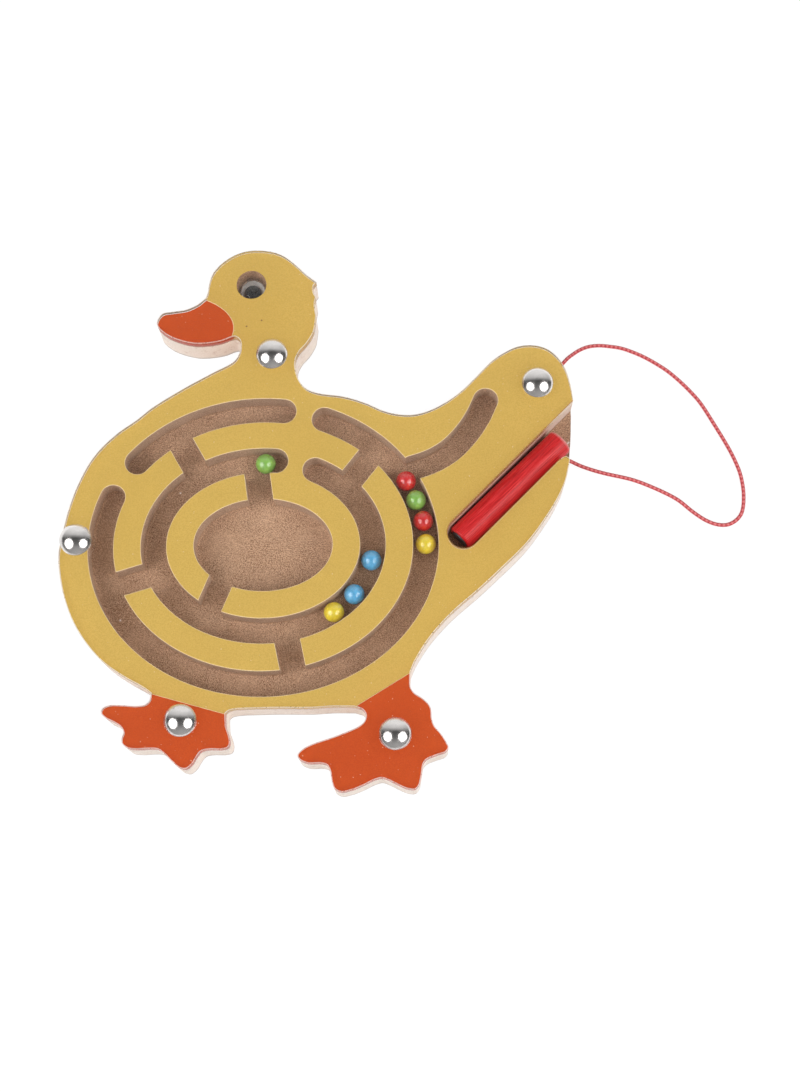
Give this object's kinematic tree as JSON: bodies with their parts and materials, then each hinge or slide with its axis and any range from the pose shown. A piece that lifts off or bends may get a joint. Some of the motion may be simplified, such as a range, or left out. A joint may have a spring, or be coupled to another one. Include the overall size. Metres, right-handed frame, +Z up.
{
  "type": "magnetic maze board",
  "caption": "Duck-shaped wooden maze board with coloured steel balls in routed channels under a clear cover, and a red magnetic pen on a braided cord.",
  "frame": {"origin": "middle of the board's outline, on the plane that its back rests on", "axes": "+Z up out of the printed face, +Y towards the duck's head, +X towards its tail"},
  "size_m": [0.2015, 0.1628, 0.0166],
  "materials": {
    "fibreboard": "raw routed fibreboard with a pale painted rim",
    "print_yellow": "satin yellow print",
    "print_orange": "satin orange print",
    "clear_acrylic": "clear polished acrylic sheet",
    "chrome": "bright plating",
    "steel": "zinc-plated",
    "eye_white": "matte pale plastic",
    "pupil_black": "matte black plastic",
    "eye_clear": "clear moulded plastic",
    "lacquer_red": "glossy lacquer on steel",
    "lacquer_green": "glossy lacquer on steel",
    "lacquer_blue": "glossy lacquer on steel",
    "lacquer_yellow": "glossy lacquer on steel",
    "red_wood": "red lacquered turned wood",
    "magnet": "dark sintered magnet",
    "red_braid": "braided polyester cord"
  },
  "bodies": {
    "board": {"maze_board": "fibreboard", "body_face_print": "print_yellow", "ring_face_print_left": "print_yellow", "ring_face_print_right": "print_yellow", "core_face_print": "print_yellow", "beak_face_print": "print_orange", "left_foot_face_print": "print_orange", "right_foot_face_print": "print_orange", "clear_cover": "clear_acrylic", "dome_nut_head": "chrome", "dome_nut_tail": "chrome", "dome_nut_left": "chrome", "dome_nut_left_foot": "chrome", "dome_nut_right_foot": "chrome", "back_screw_head": "steel", "back_screw_tail": "steel", "back_screw_left": "steel", "back_screw_left_foot": "steel", "back_screw_right_foot": "steel", "eye_back": "eye_white", "eye_lens": "eye_clear", "tether_cord": "red_braid"},
    "pen": {"pen_body": "red_wood", "pen_magnet": "magnet"},
    "pupil": {"eye_pupil": "pupil_black"},
    "red_ball_1": {"ball_red_1": "lacquer_red"},
    "green_ball_1": {"ball_green_1": "lacquer_green"},
    "red_ball_2": {"ball_red_2": "lacquer_red"},
    "yellow_ball_1": {"ball_yellow_1": "lacquer_yellow"},
    "blue_ball_1": {"ball_blue_1": "lacquer_blue"},
    "blue_ball_2": {"ball_blue_2": "lacquer_blue"},
    "yellow_ball_2": {"ball_yellow_2": "lacquer_yellow"},
    "green_ball_2": {"ball_green_2": "lacquer_green"}
  },
  "joints": [
    {"name": "pen_lift", "type": "slide", "parent": "board", "child": "pen", "axis": [0, 0, 1], "range_m": [0, 0.03]},
    {"name": "pupil_slide", "type": "slide", "parent": "board", "child": "pupil", "axis": [0, 1, 0], "range_m": [0, 0.0012]},
    {"name": "row_roll", "type": "hinge", "parent": "board", "child": "red_ball_1", "pos_m": [-0.00399, -0.00958, 0.0063], "axis": [0, 0, 1], "range_deg": [-50, 20]},
    {"name": "row_roll_green", "type": "hinge", "parent": "board", "child": "green_ball_1", "pos_m": [-0.00399, -0.00958, 0.0063], "axis": [0, 0, 1], "range_deg": [-50, 20]},
    {"name": "row_roll_red", "type": "hinge", "parent": "board", "child": "red_ball_2", "pos_m": [-0.00399, -0.00958, 0.0063], "axis": [0, 0, 1], "range_deg": [-50, 20]},
    {"name": "row_roll_yellow", "type": "hinge", "parent": "board", "child": "yellow_ball_1", "pos_m": [-0.00399, -0.00958, 0.0063], "axis": [0, 0, 1], "range_deg": [-50, 20]},
    {"name": "blue_roll_upper", "type": "hinge", "parent": "board", "child": "blue_ball_1", "pos_m": [-0.00479, -0.00953, 0.0063], "axis": [0, 0, 1], "range_deg": [-6, 40]},
    {"name": "blue_roll_lower", "type": "hinge", "parent": "board", "child": "blue_ball_2", "pos_m": [-0.00922, -0.00718, 0.0063], "axis": [0, 0, 1], "range_deg": [-1.5, 4]},
    {"name": "yellow_roll", "type": "hinge", "parent": "board", "child": "yellow_ball_2", "pos_m": [-0.01277, -0.00324, 0.0063], "axis": [0, 0, 1], "range_deg": [-28, 1.3]},
    {"name": "green_roll", "type": "hinge", "parent": "board", "child": "green_ball_2", "pos_m": [-0.01592, -0.02399, 0.0063], "axis": [0, 0, 1], "range_deg": [-4, 35]}
  ],
  "couplings": [
    {"joint": "row_roll_green", "follows": "row_roll", "ratio": 1},
    {"joint": "row_roll_red", "follows": "row_roll", "ratio": 1},
    {"joint": "row_roll_yellow", "follows": "row_roll", "ratio": 1}
  ]
}
